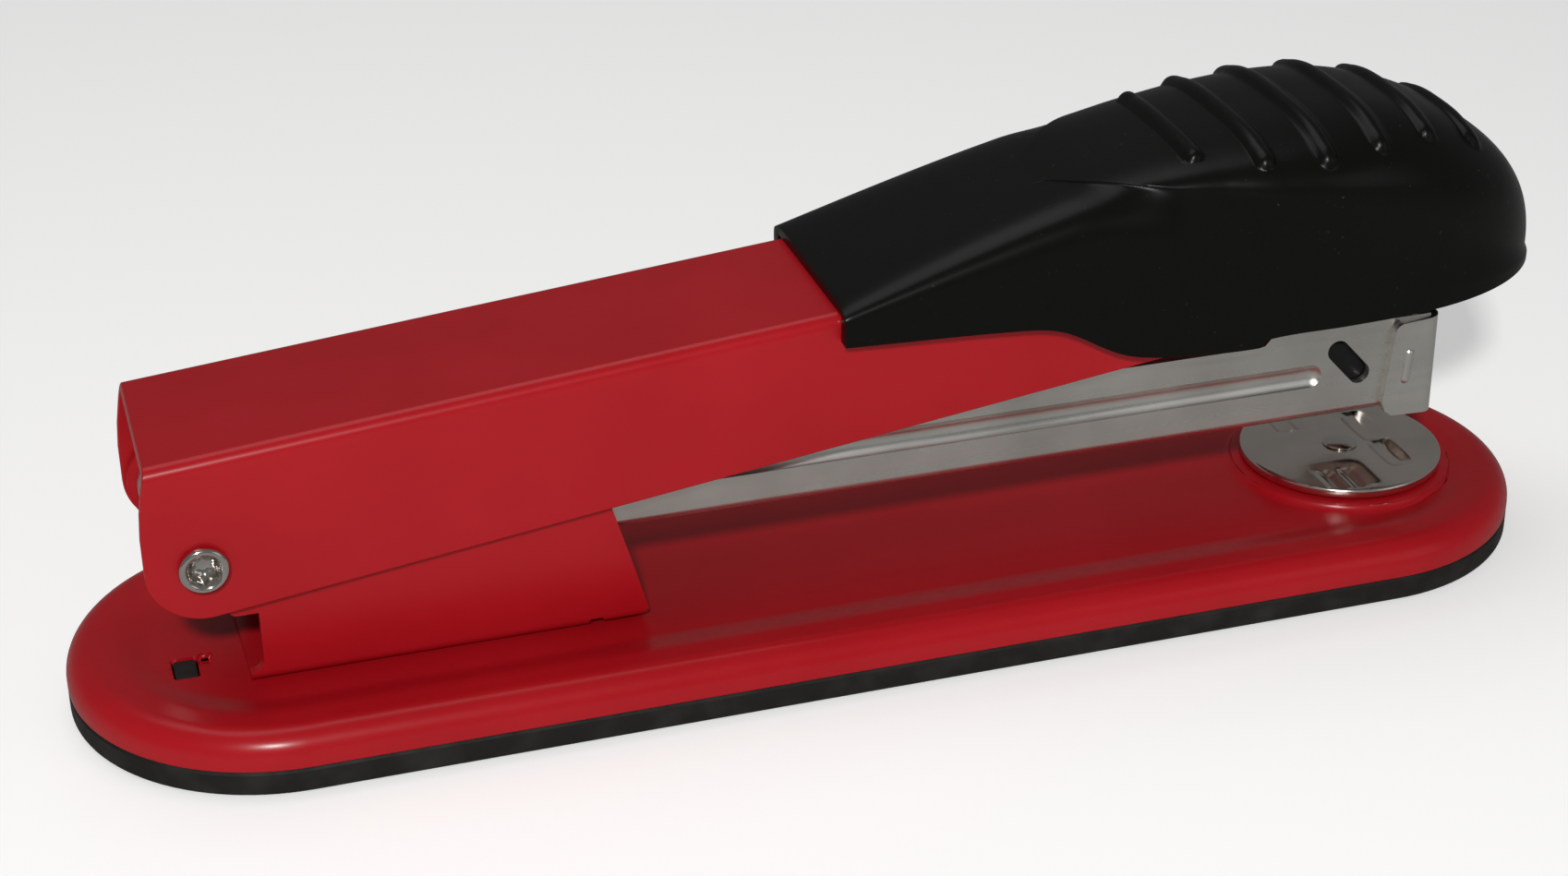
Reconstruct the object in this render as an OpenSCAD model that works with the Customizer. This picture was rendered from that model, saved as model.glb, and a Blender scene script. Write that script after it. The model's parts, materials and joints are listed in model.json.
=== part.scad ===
// Desk stapler: a sheet steel base, a pivoting magazine and arm, and a moulded grip cap.
// Origin: centre of the base's underside. +X points to the anvil end, +Z points up.

/* [Base] */
// Length of the base over its round ends
base_len = 150; // [148:1:156]
// Width of the base
base_w = 40.4; // [39:0.2:42]
// Height of the rubber pad under the shell
pad_h = 2.6; // [2.2:0.1:2.8]
// Height of the recessed floor of the shell
floor_z = 5.5; // [5.4:0.1:5.6]
// Height of the rim round the recessed floor
rim_z = 6.2; // [6.1:0.1:6.4]
// Thickness of the base's sheet
base_sheet = 1.0; // [0.8:0.1:1.2]
// Radius of the rim's outer edge
rim_r = 2.6; // [2.2:0.1:3]

/* [Pivot] */
// Distance of the pivot behind the centre of the base
pivot_back = 61.8; // [61:0.1:62.5]
// Height of the pivot
pivot_z = 19.2; // [19:0.1:19.4]
// Radius of the pivot rivet's shank
pivot_r = 1.5; // [1.4:0.05:1.6]
// Radial clearance of the shank in its holes
running_gap = 0.06; // [0.04:0.01:0.08]

/* [Sheet channels] */
// Outer width of the arm
arm_w = 20; // [19.8:0.1:20.6]
// Sheet thickness of the arm and the magazine
channel_sheet = 0.9; // [0.8:0.05:0.95]
// Sheet thickness of the bracket
bracket_sheet = 1.0; // [0.9:0.05:1]
// Side gap between the arm and the bracket
arm_gap = 0.2; // [0.2:0.05:0.3]
// Side gap between the bracket and the magazine
magazine_gap = 0.3; // [0.25:0.05:0.35]
// Slope of the arm's top, in degrees
arm_slope = 5; // [4.8:0.1:5.2]
// Outer radius of the folds along the arm's top
arm_fold_r = 1.3; // [1.2:0.1:1.8]

/* [Magazine] */
// Height of the magazine's underside
magazine_z = 15.1; // [15:0.1:15.3]
// Outer width of the staple rail
rail_w = 11.5; // [11.3:0.1:11.6]
// Sheet thickness of the staple rail
rail_sheet = 0.8; // [0.7:0.05:0.85]
// Radius of the guide rod
rod_r = 1.0; // [0.9:0.05:1.1]
// Turns of the follower's spring
follower_turns = 22; // [18:1:24]

/* [Anvil] */
// Distance of the anvil's centre in front of the base's centre
anvil_x = 57.7; // [57:0.1:58]
// Radius of the anvil disc
anvil_r = 10.5; // [10.2:0.1:10.8]
// Height of the anvil's face
anvil_z = 7.44; // [7.4:0.02:7.6]
// Thickness of the anvil disc
anvil_t = 1.0; // [0.9:0.05:1]

/* [Grip cap] */
// Wall of the moulded cap
cap_wall = 1.8; // [1.6:0.1:2]
// Height of the crown at its highest place
cap_crest_z = 48.2; // [48:0.1:48.6]
// Height of the grip ribs
grip_rib_h = 0.6; // [0.4:0.1:0.9]
// Spacing of the grip ribs
grip_rib_pitch = 6.1; // [5.8:0.1:6.2]

/* [Hidden] */
$fn = 64;
eps = 0.01;

red = "#a81c20";
steel = "#9a9a90";
bright = "#c8c8c4";
black = "#1c1c1c";
rubber = "#262420";

base_r = base_w / 2;
base_arc_x = (base_len - base_w) / 2;
recess_r = 12.5;
rim_inner_r = 15.6;
pedestal_r = 11.2;
pedestal_z = 6.2;

pivot_x = -pivot_back;
pivot_hole_r = pivot_r + running_gap;

arm_half = arm_w / 2;
bracket_half = arm_half - channel_sheet - arm_gap;
magazine_half = bracket_half - bracket_sheet - magazine_gap;
magazine_inner = magazine_half - channel_sheet;
magazine_floor = 0.8;
rail_z = magazine_z + magazine_floor;
rail_h = 6;
rail_half = rail_w / 2;
rail_inner = rail_half - rail_sheet;
rail_back = -56;
rail_front = 60.9;
rod_z = 19.9;
nose_inner_x = 62.6;
nose_sheet = 0.8;

arm_back_x = -65.9;
arm_back_z = 29.75;
arm_front_x = 61.3;
function arm_top(x) = arm_back_z + (x - arm_back_x) * tan(arm_slope);
function arm_under(x) = arm_top(x) - channel_sheet / cos(arm_slope);

// ---------- shared shapes ----------

// Sweeps a half section (distance from the centre line, height) round the base's outline
module stadium_sweep() {
    translate([base_arc_x, 0, 0])
        rotate([0, 0, -90])
            rotate_extrude(angle = 180)
                children();
    translate([-base_arc_x, 0, 0])
        rotate([0, 0, 90])
            rotate_extrude(angle = 180)
                children();
    for (side = [0, 1])
        mirror([0, side, 0])
            translate([-base_arc_x, 0, 0])
                rotate([90, 0, 90])
                    linear_extrude(2 * base_arc_x)
                        children();
}

// Extrudes an outline drawn in X and Z across the width, from -half to half
module across(half) {
    rotate([90, 0, 0])
        translate([0, 0, -half])
            linear_extrude(2 * half)
                children();
}

// A long slot drawn in X and Z
module slot_2d(length, width) {
    for (side = [-1, 1])
        translate([side * (length - width) / 2, 0])
            circle(r = width / 2);
    square([length - width, width], center = true);
}

// An upright rectangle with its two lower corners rounded, centred on Y
module round_bottom_2d(half, low, high, corner) {
    translate([-half, low + corner])
        square([2 * half, high - low - corner]);
    translate([-half + corner, low])
        square([2 * (half - corner), corner + eps]);
    for (side = [-1, 1])
        translate([side * (half - corner), low + corner])
            circle(r = corner);
}

// A folded channel, open at the top, running along X
module channel_up(half, low, high, sheet, floor_sheet, back, front, corner) {
    translate([back, 0, 0])
        rotate([90, 0, 90])
            linear_extrude(front - back)
                difference() {
                    round_bottom_2d(half, low, high, corner);
                    round_bottom_2d(half - sheet, low + floor_sheet, high + 1, corner / 3);
                }
}

// A flat-headed rivet standing on Z: shank from low to high, a head beyond each end
module rivet(shank_r, low, high, head_r, head_h) {
    translate([0, 0, low - eps])
        cylinder(r = shank_r, h = high - low + 2 * eps);
    translate([0, 0, low - head_h])
        cylinder(r1 = head_r - 0.3, r2 = head_r, h = head_h);
    translate([0, 0, high])
        cylinder(r1 = head_r, r2 = head_r * 0.6, h = head_h);
}

// A round wire wound as a helix along Z
module coil(radius, wire_r, length, turns, steps, sides) {
    rings = turns * steps;
    points = [
        for (i = [0 : rings])
            for (j = [0 : sides - 1])
                let (turn = 360 * i / steps, roll = 360 * j / sides, reach = radius + wire_r * cos(roll))
                    [reach * cos(turn), reach * sin(turn), length * i / rings + wire_r * sin(roll)]
    ];
    walls = [
        for (i = [0 : rings - 1])
            for (j = [0 : sides - 1])
                let (k = (j + 1) % sides, a = i * sides, b = a + sides)
                    each [[a + j, a + k, b + k], [a + j, b + k, b + j]]
    ];
    start = [for (j = [0 : sides - 1]) sides - 1 - j];
    end = [for (j = [0 : sides - 1]) rings * sides + j];
    polyhedron(points, concat(walls, [start, end]));
}

// A strip of sheet that follows a line of points in X and Z
module leaf_2d(line, sheet) {
    polygon(concat(line, [for (i = [len(line) - 1 : -1 : 0]) line[i] - [0, sheet]]));
}

function smooth(t) = t * t * (3 - 2 * t);

// ---------- base ----------

module base_section(grow) {
    r = rim_r + grow;
    polygon([[0, pad_h], [base_r + grow, pad_h], [base_r + grow, rim_z - rim_r],
        [base_r - rim_r, rim_z + grow], [rim_inner_r, rim_z + grow],
        [recess_r, floor_z + grow], [0, floor_z + grow]]);
    translate([base_r - rim_r, rim_z - rim_r])
        circle(r = r);
}

peg_place = [-64.15, -4.1];
peg_hole = [2.5, 3.8];
peg_gap = 0.2;
lance_place = [-62.2, -2.4];
lance = [1.3, 1, 0.6];
bracket_rivet_xs = [-48, -32];

module base_plate() {
    color(red)
    difference() {
        union() {
            translate([lance_place[0] - lance[0] / 2, lance_place[1] - lance[1] / 2, floor_z - eps])
                cube([lance[0], lance[1], lance[2] + eps]);
            stadium_sweep()
                difference() {
                    intersection() {
                        base_section(0);
                        translate([0, pad_h])
                            square([base_r + 1, rim_z]);
                    }
                    base_section(-base_sheet);
                    square([base_r - base_sheet, pad_h + 0.5]);
                }
            translate([anvil_x, 0, floor_z - base_sheet])
                cylinder(r = pedestal_r, h = pedestal_z - floor_z + base_sheet);
        }
        translate([peg_place[0], peg_place[1], floor_z])
            cube([peg_hole[0], peg_hole[1], 4], center = true);
        translate([lance_place[0], lance_place[1] - lance[1], floor_z])
            cube([lance[0], lance[1], 4], center = true);
        for (x = bracket_rivet_xs)
            translate([x, 0, 0])
                cylinder(r = pivot_r, h = 10);
        translate([anvil_x, 0, 0])
            cylinder(r = pivot_hole_r, h = 10);
    }
}

pad_floor = 1.6;
pad_lip = 1.6;
button_r = 5;

module base_pad() {
    color(rubber)
    difference() {
        union() {
            stadium_sweep()
                difference() {
                    union() {
                        translate([0, 0.6])
                            square([base_r, pad_h - 0.6]);
                        square([base_r - 0.6, 1]);
                        translate([base_r - 0.6, 0.6])
                            circle(r = 0.6);
                    }
                    translate([0, pad_floor])
                        square([base_r - pad_lip, 2]);
                }
            translate([peg_place[0] - peg_hole[0] / 2 + peg_gap, peg_place[1] - peg_hole[1] / 2 + peg_gap,
                pad_floor - eps])
                cube([peg_hole[0] - 2 * peg_gap, peg_hole[1] - 2 * peg_gap, floor_z - peg_gap - pad_floor]);
        }
        translate([anvil_x, 0, -1])
            cylinder(r = button_r + 0.4, h = 5);
    }
}

// ---------- bracket ----------

bracket_back = -58.5;
bracket_rear_x = -57.2;
bracket_front = -20;

module bracket_side_2d() {
    translate([pivot_x, pivot_z])
        circle(r = 5);
    polygon([[pivot_x, 24.2], [-64.5, 15], [-60.2, 14], [-59.8, 13], [bracket_rear_x, 13],
        [bracket_rear_x, 7.8], [-56.5, 6.3], [bracket_back, 6.3 + eps], [bracket_back, floor_z - 1],
        [-26, floor_z - 1], [-26, 6.4], [-24.7, 6.4], [-24.7, 6], [-21, 6],
        [bracket_front, 7], [-21.7, 12.3], [-23.3, 17.8], [-24, 21], [-50, 23.8]]);
}

module bracket() {
    color(red)
    difference() {
        intersection() {
            across(bracket_half + 1)
                bracket_side_2d();
            channel_up(bracket_half, floor_z, 30, bracket_sheet, bracket_sheet, -70, -15, 1);
        }
        translate([pivot_x, 0, pivot_z])
            rotate([90, 0, 0])
                cylinder(r = pivot_hole_r, h = 40, center = true);
        for (x = bracket_rivet_xs)
            translate([x, 0, 0])
                cylinder(r = pivot_r, h = 10);
    }
}

leaf_t = 0.5;
magazine_spring_back = -52;
magazine_spring_flat = -40;
magazine_spring_tip = -25;

module magazine_spring() {
    low = floor_z + bracket_sheet + leaf_t;
    high = magazine_z - 0.3;
    steps = 14;
    line = concat([[magazine_spring_back, low]],
        [for (i = [0 : steps])
            let (x = magazine_spring_flat + (magazine_spring_tip - magazine_spring_flat) * i / steps)
                [x, low + (high - low) * smooth(i / steps)]]);
    color(steel)
    difference() {
        across(4)
            leaf_2d(line, leaf_t);
        translate([bracket_rivet_xs[0], 0, 0])
            cylinder(r = pivot_r, h = 10);
    }
}

module bracket_rivets() {
    stack = floor_z + bracket_sheet;
    color(steel)
    for (i = [0, 1])
        translate([bracket_rivet_xs[i], 0, 0])
            rivet(pivot_r, floor_z - base_sheet, stack + (i == 0 ? leaf_t : 0), 2.8, 0.8);
}

// ---------- pivot ----------

rivet_head_r = 2.36;
rivet_head_y = arm_half + 0.08;

module rivet_head() {
    rotate_extrude()
        difference() {
            union() {
                square([rivet_head_r - 0.4, 0.8]);
                translate([rivet_head_r - 0.4, 0.4])
                    circle(r = 0.4);
            }
            translate([0, 1])
                circle(r = 0.95);
            translate([-3, -3])
                square([3, 6]);
        }
}

module pivot_rivet() {
    color(bright)
    translate([pivot_x, 0, pivot_z]) {
        rotate([90, 0, 0])
            cylinder(r = pivot_r, h = 2 * rivet_head_y + 0.2, center = true);
        for (side = [-1, 1])
            rotate([side * 90, 0, 0])
                translate([0, 0, rivet_head_y])
                    rivet_head();
    }
}

// ---------- anvil ----------

post_head_r = 1.85;
button_low = 0.3;
button_h = 1.2;
anvil_spring_r = 3.2;
anvil_wire_r = 0.25;

module anvil_post() {
    head_low = anvil_z + 0.05;
    color(bright)
    translate([anvil_x, 0, 0]) {
        translate([0, 0, button_low + 0.2])
            cylinder(r = pivot_r, h = head_low - button_low);
        translate([0, 0, head_low])
            cylinder(r1 = post_head_r, r2 = post_head_r - 0.35, h = 0.3);
    }
}

module anvil_button() {
    color(steel)
    translate([anvil_x, 0, button_low])
        difference() {
            cylinder(r = button_r, h = button_h);
            translate([0, 0, 0.2])
                cylinder(r = pivot_r, h = button_h);
        }
}

module anvil_spring() {
    low = button_low + button_h + anvil_wire_r;
    color(steel)
    translate([anvil_x, 0, low])
        coil(anvil_spring_r, anvil_wire_r, floor_z - base_sheet - anvil_wire_r - low, 2, 14, 6);
}

// A scooped pocket in the anvil's face that turns a staple's leg, with its length along Y
module anvil_pocket(x, y, width, length, depth) {
    scoop_r = (length * length / 4 + depth * depth) / (2 * depth);
    translate([x, y, anvil_z - depth + scoop_r])
        rotate([0, 90, 0])
            cylinder(r = scoop_r, h = width, center = true);
}

module anvil_disc() {
    edge = 0.3;
    color(bright)
    difference() {
        translate([anvil_x, 0, anvil_z - anvil_t])
            rotate_extrude() {
                square([anvil_r - edge, anvil_t]);
                square([anvil_r, anvil_t - edge]);
                translate([anvil_r - edge, anvil_t - edge])
                    circle(r = edge);
            }
        translate([anvil_x, 0, 0])
            cylinder(r = pivot_hole_r, h = 10);
        for (side = [-1, 1]) {
            anvil_pocket(61.6, side * 3.15, 2.4, 6.2, 0.55);
            anvil_pocket(54.7, side * 6.9, 3.8, 5.4, 0.45);
        }
    }
}

// ---------- magazine ----------

magazine_step_x = 44.7;

module magazine_side_2d() {
    translate([pivot_x, pivot_z])
        circle(r = 4.1);
    polygon([[pivot_x, magazine_z - 1], [nose_inner_x, magazine_z - 1], [nose_inner_x, 25.3],
        [magazine_step_x + 0.5, 25.3], [magazine_step_x - 0.5, 24.2], [-60, 24.2], [-64.4, 22.4]]);
}

module magazine() {
    color(steel)
    difference() {
        intersection() {
            across(magazine_half + 1)
                magazine_side_2d();
            channel_up(magazine_half, magazine_z, 30, channel_sheet, magazine_floor, -70, 65, 1);
        }
        translate([pivot_x, 0, pivot_z])
            rotate([90, 0, 0])
                cylinder(r = pivot_hole_r, h = 40, center = true);
        across(20)
            translate([53.75, 21.1])
                rotate(-48)
                    slot_2d(6.05, 2.3);
        for (side = [-1, 1])
            translate([0, side * (magazine_half + 0.15), 0])
                across(0.5)
                    translate([4.9, 20.1])
                        slot_2d(91.6, 2.4);
        translate([rail_front - 0.4, -magazine_inner, magazine_z - 1])
            cube([3, 2 * magazine_inner, 3]);
        for (x = rail_rivet_xs)
            translate([x, 0, 0])
                cylinder(r = rail_rivet_r, h = 20);
    }
}

nose_half = magazine_half + nose_sheet;
nose_front = nose_inner_x + nose_sheet + 0.1;

module nose_plate() {
    corner = 1.2;
    color(steel)
    difference() {
        intersection() {
            difference() {
                translate([50, 0, 0])
                    linear_extrude(30) {
                        translate([0, -nose_half])
                            square([nose_front - 50 - corner, 2 * nose_half]);
                        translate([0, -nose_half + corner])
                            square([nose_front - 50, 2 * (nose_half - corner)]);
                        for (side = [-1, 1])
                            translate([nose_front - 50 - corner, side * (nose_half - corner)])
                                circle(r = corner);
                    }
                translate([40, -magazine_half, 0])
                    cube([nose_inner_x - 40, 2 * magazine_half, 40]);
            }
            across(20)
                polygon([[58.8, 14.3], [64, 14.3], [64, 25], [59.4, 25], [58, 23.8], [57.9, 15.3]]);
        }
        for (side = [-1, 1])
            translate([60.6, side * (nose_half + 0.35), 19.9])
                cube([1.5, 1, 3.6], center = true);
    }
}

module staple_rail() {
    tab = 0.8;
    front_tab_x = 58.9;
    inner_z = rail_z + rail_sheet;
    color(steel)
    difference() {
        translate([rail_back, -rail_half, rail_z])
            cube([rail_front - rail_back, rail_w, rail_h]);
        translate([rail_back + tab, -rail_inner, inner_z])
            cube([front_tab_x - rail_back - tab, 2 * rail_inner, 10]);
        translate([front_tab_x + tab, -rail_inner, inner_z])
            cube([5, 2 * rail_inner, 10]);
        translate([0, 0, rod_z])
            rotate([0, 90, 0])
                cylinder(r = rod_r, h = 140, center = true);
        for (x = rail_rivet_xs)
            translate([x, 0, 0])
                cylinder(r = rail_rivet_r, h = 20);
    }
}

rail_rivet_xs = [-44, 38];
rail_rivet_r = 1.2;

module rail_rivets() {
    color(bright)
    for (x = rail_rivet_xs)
        translate([x, 0, 0])
            rivet(rail_rivet_r, magazine_z, rail_z + rail_sheet, 2.1, 0.5);
}

rod_clip_x = -56.7;

module guide_rod() {
    color(bright)
    translate([0, 0, rod_z])
        rotate([0, 90, 0]) {
            translate([0, 0, -57.2])
                cylinder(r = rod_r, h = 57.2 + 59.8);
            translate([0, 0, 59.75])
                cylinder(r1 = 1.9, r2 = 1.4, h = 0.9);
        }
}

module rod_clip() {
    color(steel)
    translate([rod_clip_x, 0, rod_z])
        rotate([0, 90, 0])
            difference() {
                cylinder(r = 2.3, h = 0.6);
                translate([0, 0, -1])
                    cylinder(r = rod_r, h = 3);
            }
}

// ---------- follower ----------

follower_back = 47;
follower_front = 60.2;
follower_clear = 0.2;
follower_core = 10;

module follower() {
    top_z = rail_z + rail_h + follower_clear;
    leg_in = rail_half + follower_clear;
    leg_out = magazine_inner - follower_clear;
    leg_z = magazine_z + 1.3;
    core_half = rail_inner - follower_clear - 0.05;
    core_z = rail_z + rail_sheet + 0.9;
    color(black)
    difference() {
        union() {
            translate([follower_back, -leg_out, top_z])
                cube([follower_front - follower_back, 2 * leg_out, 0.7]);
            for (side = [-1, 1])
                translate([follower_back, (side - 1) / 2 * (leg_out + leg_in) + leg_in, leg_z])
                    cube([follower_front - follower_back, leg_out - leg_in, top_z - leg_z + eps]);
            translate([follower_back + 1, -core_half, core_z])
                cube([follower_core, 2 * core_half, top_z - core_z + eps]);
        }
        translate([0, 0, rod_z])
            rotate([0, 90, 0])
                cylinder(r = rod_r + running_gap, h = 140, center = true);
    }
}

follower_wire_r = 0.25;

module follower_spring() {
    low = rail_back + 0.8 + follower_wire_r + 0.05;
    high = follower_back + 1 - follower_wire_r - 0.05;
    color(steel)
    translate([low, 0, rod_z])
        rotate([0, 90, 0])
            coil(2.2, follower_wire_r, high - low, follower_turns, 12, 5);
}

// ---------- arm ----------

module arm_side_2d() {
    round_r = 5.3;
    lower_slope = 7.35;
    tangent = [pivot_x + round_r * sin(lower_slope), pivot_z - round_r * cos(lower_slope)];
    translate([pivot_x, pivot_z])
        circle(r = round_r);
    polygon([tangent, [arm_front_x, tangent[1] + (arm_front_x - tangent[0]) * tan(lower_slope)],
        [arm_front_x, 45], [arm_back_x - 0.1, arm_back_z + 1], [arm_back_x - 1.2, arm_back_z - 4.5],
        [pivot_x - round_r, pivot_z]]);
}

// The arm's folded section: an inverted channel under a rounded top
module arm_section() {
    mirror([0, 1])
        difference() {
            round_bottom_2d(arm_half, 0, 40, arm_fold_r);
            round_bottom_2d(arm_half - channel_sheet, channel_sheet, 41, arm_fold_r - channel_sheet);
        }
}

module arm_bar() {
    translate([arm_back_x, 0, arm_back_z])
        rotate([0, -arm_slope, 0])
            translate([-8, 0, 0])
                rotate([90, 0, 90])
                    linear_extrude(145)
                        arm_section();
}

module arm() {
    color(red)
    difference() {
        intersection() {
            arm_bar();
            across(arm_half + 1)
                arm_side_2d();
        }
        translate([pivot_x, 0, pivot_z])
            rotate([90, 0, 0])
                cylinder(r = pivot_hole_r, h = 40, center = true);
        at_driver_rivets()
            cylinder(r = driver_rivet_r, h = 10, center = true);
    }
}

driver_rivet_xs = [39, 45];
driver_rivet_r = 1.3;
driver_sheet = 0.6;

// Places children on the arm's top face at each driver rivet, square to the face
module at_driver_rivets() {
    for (x = driver_rivet_xs)
        translate([x, 0, arm_top(x)])
            rotate([0, -arm_slope, 0])
                children();
}

module driver_blade() {
    blade_x = 61.2;
    blade_low = 23;
    lean = 1.9;
    strap_back = 35;
    color(bright)
    difference() {
        union() {
            translate([blade_x, -6.4, blade_low])
                rotate([0, -lean, 0])
                    cube([driver_sheet, 12.8, arm_under(blade_x) - blade_low - 0.15]);
            across(5)
                polygon([[strap_back, arm_under(strap_back)], [blade_x, arm_under(blade_x)],
                    [blade_x, arm_under(blade_x) - driver_sheet],
                    [strap_back, arm_under(strap_back) - driver_sheet]]);
        }
        at_driver_rivets()
            cylinder(r = driver_rivet_r, h = 10, center = true);
    }
}

arm_spring_tip = -6;

module arm_spring() {
    fixed_back = 34;
    steps = 16;
    tip_z = 24.2 + 0.2 + leaf_t;
    fixed_z = arm_under(fixed_back) - driver_sheet;
    line = concat(
        [for (i = [0 : steps])
            let (x = arm_spring_tip + (fixed_back - arm_spring_tip) * i / steps)
                [x, tip_z + (fixed_z - tip_z) * smooth(i / steps)]],
        [[50, arm_under(50) - driver_sheet]]);
    color(steel)
    difference() {
        intersection() {
            across(7.4)
                leaf_2d(line, leaf_t);
            union() {
                translate([-20, -4, 0])
                    cube([100, 8, 60]);
                translate([arm_spring_tip - 1, -7.4, 0])
                    cube([4, 14.8, 60]);
            }
        }
        at_driver_rivets()
            cylinder(r = driver_rivet_r, h = 10, center = true);
    }
}

module driver_rivets() {
    stack = channel_sheet + driver_sheet + leaf_t;
    color(steel)
    at_driver_rivets()
        rivet(driver_rivet_r, -stack, 0, 2.2, 0.6);
}

// ---------- grip cap ----------

cap_back = -1;
cap_front = 75.9;
cap_round_x = 54;
cap_crest_x = 52;
cap_back_top = 36.5;
cap_tip_z = 29.6;
cap_rise = 1.6;
cap_round = 1.95;
cap_arch = 0.4;
cap_steps = 6;
cap_close_x = 71.4;

// Height of the crown's top line: a slope that flattens out at the crest, then a full round to the tip
function cap_top(x) =
    let (behind = (cap_crest_x - x) / (cap_crest_x - cap_back),
        ahead = (x - cap_crest_x) / (cap_front - cap_crest_x))
        x < cap_crest_x ? cap_crest_z - (cap_crest_z - cap_back_top) * pow(behind, cap_rise)
        : cap_tip_z + (cap_crest_z - cap_tip_z) * pow(max(1 - pow(ahead, cap_round), 0), 1 / cap_round);

// Each line gives a height or half width of the cap at a few places along X. The crease is the edge
// of the thumb pad: it starts near the middle of the crown and runs forward and down to the widest place
cap_bottom_line = [[-1, 32.8], [17, 32], [21, 31.2], [27, 28], [32, 26.8], [43, 26.4], [60, 27.8],
    [cap_front, 28.9]];
cap_shoulder_line = [[-1, 35.2], [12, 36.5], [22, 37.1], [30, 36.3], [38, 34.5], [48, 32.2], [62, 30.2],
    [cap_front, 29.2]];
cap_crease_line = [[-1, 36.2], [8, 38.8], [14, 40.8], [21, 43.1], [26, 43.9], [32, 43.8], [37, 43.4],
    [42, 42.8], [50, 41.8], [60, 38.4], [68, 33.8], [cap_front, 29.4]];
cap_skirt_half = [[-1, 11.6], [15, 11.8], [40, 12.1], [60, 12.6], [cap_front, 12.8]];
cap_crease_half = [[-1, 9.4], [8, 7.5], [15, 4.5], [21, 3], [24.5, 6.4], [28, 9], [32, 10.8], [37, 12.1],
    [42, 13.4], [50, 14.1], [60, 13.1], [cap_front, 11.2]];

// The stretch of a line that holds x, the line's slope at point i, and its smooth value at x
function cap_segment(line, x, i = 0) =
    (i >= len(line) - 2 || x < line[i + 1][0]) ? i : cap_segment(line, x, i + 1);
function cap_slope(line, i) =
    let (a = max(i - 1, 0), b = min(i + 1, len(line) - 1))
        (line[b][1] - line[a][1]) / (line[b][0] - line[a][0]);
function cap_value(line, x) =
    let (i = cap_segment(line, x), span = line[i + 1][0] - line[i][0], t = (x - line[i][0]) / span,
        a = line[i][1], b = line[i + 1][1],
        da = cap_slope(line, i) * span, db = cap_slope(line, i + 1) * span)
        a + da * t + (3 * (b - a) - 2 * da - db) * t * t + (2 * (a - b) + da + db) * t * t * t;

// The plan view closes to a round front: 1 along the sides, 0 at the tip
function cap_taper(x) =
    x < cap_round_x ? 1
    : sqrt(max(1 - pow((x - cap_round_x) / (cap_front - cap_round_x), 2.45), 0.006));

function step_up(low, high, x) = smooth(min(max((x - low) / (high - low), 0), 1));
function bezier(p0, p1, p2, p3, t) =
    p0 * pow(1 - t, 3) + 3 * p1 * t * pow(1 - t, 2) + 3 * p2 * t * t * (1 - t) + p3 * pow(t, 3);

// Half a section: up the skirt, over the flank to the crease, then over the crown to its middle. full
// runs from 0, a low roof, to 1, a full round crown over a hollow flank. arched runs from 0 to 1 and
// draws the half out into one plain arch. bump raises a rib
function cap_half(skirt, low, shoulder, crease, edge, top, full, arched, bump) =
    let (start = [skirt, shoulder], end = [crease, edge], rise = edge - shoulder,
        near_start = [skirt, shoulder + 0.22 * rise],
        near_end = [max(crease, skirt) - 0.6 * full, shoulder + 0.62 * rise],
        turn = acos(min(pow(crease / skirt, 1 / cap_arch), 1)),
        flank = [for (t = [0.25, 0.5, 0.75])
            bezier(start, near_start, near_end, end, t) * (1 - arched)
                + cap_arch_point(skirt, shoulder, top, turn * t) * arched],
        crown = [for (i = [0 : cap_steps - 1])
            let (a = 90 * i / cap_steps)
                [crease * pow(cos(a), 1 - 0.3 * full), edge + (top - edge) * pow(sin(a), 2 - 1.1 * full)]
                    * (1 - arched)
                + cap_arch_point(skirt, shoulder, top, turn + (90 - turn) * i / cap_steps) * arched
                + (i > 1 ? [bump / 2, bump] : [0, 0])])
        concat([[skirt, low], start], flank, crown, [[0, top + bump]]);
function cap_arch_point(skirt, shoulder, top, a) =
    [skirt * pow(cos(a), cap_arch), shoulder + (top - shoulder) * pow(sin(a), cap_arch)];

function cap_outer(x, bump) =
    let (taper = cap_taper(x),
        low = cap_value(cap_bottom_line, x),
        shoulder = max(cap_value(cap_shoulder_line, x), low + 0.1),
        edge = max(cap_value(cap_crease_line, x), shoulder + 0.1))
        cap_half(cap_value(cap_skirt_half, x) * taper, low, shoulder,
            cap_value(cap_crease_half, x) * taper, edge, max(cap_top(x), edge + 0.1),
            step_up(20, 36, x), 1 - step_up(22, 38, x), bump);

// The hollow inside clears the arm, widens under the thumb pad and closes before the front
function cap_inner(x) =
    let (count = cap_steps + 6,
        low = cap_value(cap_bottom_line, x),
        inner_taper = cap_taper(x + cap_wall),
        over_arm = x < arm_front_x + 0.3,
        room = over_arm ? arm_half + 0.05 : 0,
        roof = over_arm ? arm_top(x) + 0.05 : 0,
        wide = step_up(36, 46, x),
        skirt = max(cap_value(cap_skirt_half, x) * inner_taper - cap_wall, room),
        crease = max(cap_value(cap_crease_half, x) * inner_taper - cap_wall, room),
        shoulder = max(cap_value(cap_shoulder_line, x) - cap_wall / 2, low + 0.2),
        under_edge = cap_value(cap_crease_line, x) - 0.7 * cap_wall,
        edge = max(roof * (1 - wide) + under_edge * wide, shoulder + 0.2, roof),
        top = max(min(cap_top(x) - cap_wall, cap_top(x + cap_wall)), edge + 0.05))
        x > cap_close_x ?
            [for (i = [0 : count - 1])
                [0.9 * cap_value(cap_skirt_half, x) * cap_taper(x) * (1 - i / (count - 1)),
                    low + 0.03 + 0.02 * i / count]]
        : cap_half(skirt, low, shoulder, crease, edge, top, step_up(20, 36, x), 0, 0);

// Both halves of a section as one row of points, from the near side over the top to the far side
function cap_row(x, half) =
    concat([for (p = half) [x, -p[0], p[1]]],
        [for (i = [len(half) - 2 : -1 : 0]) [x, half[i][0], half[i][1]]]);

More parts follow.
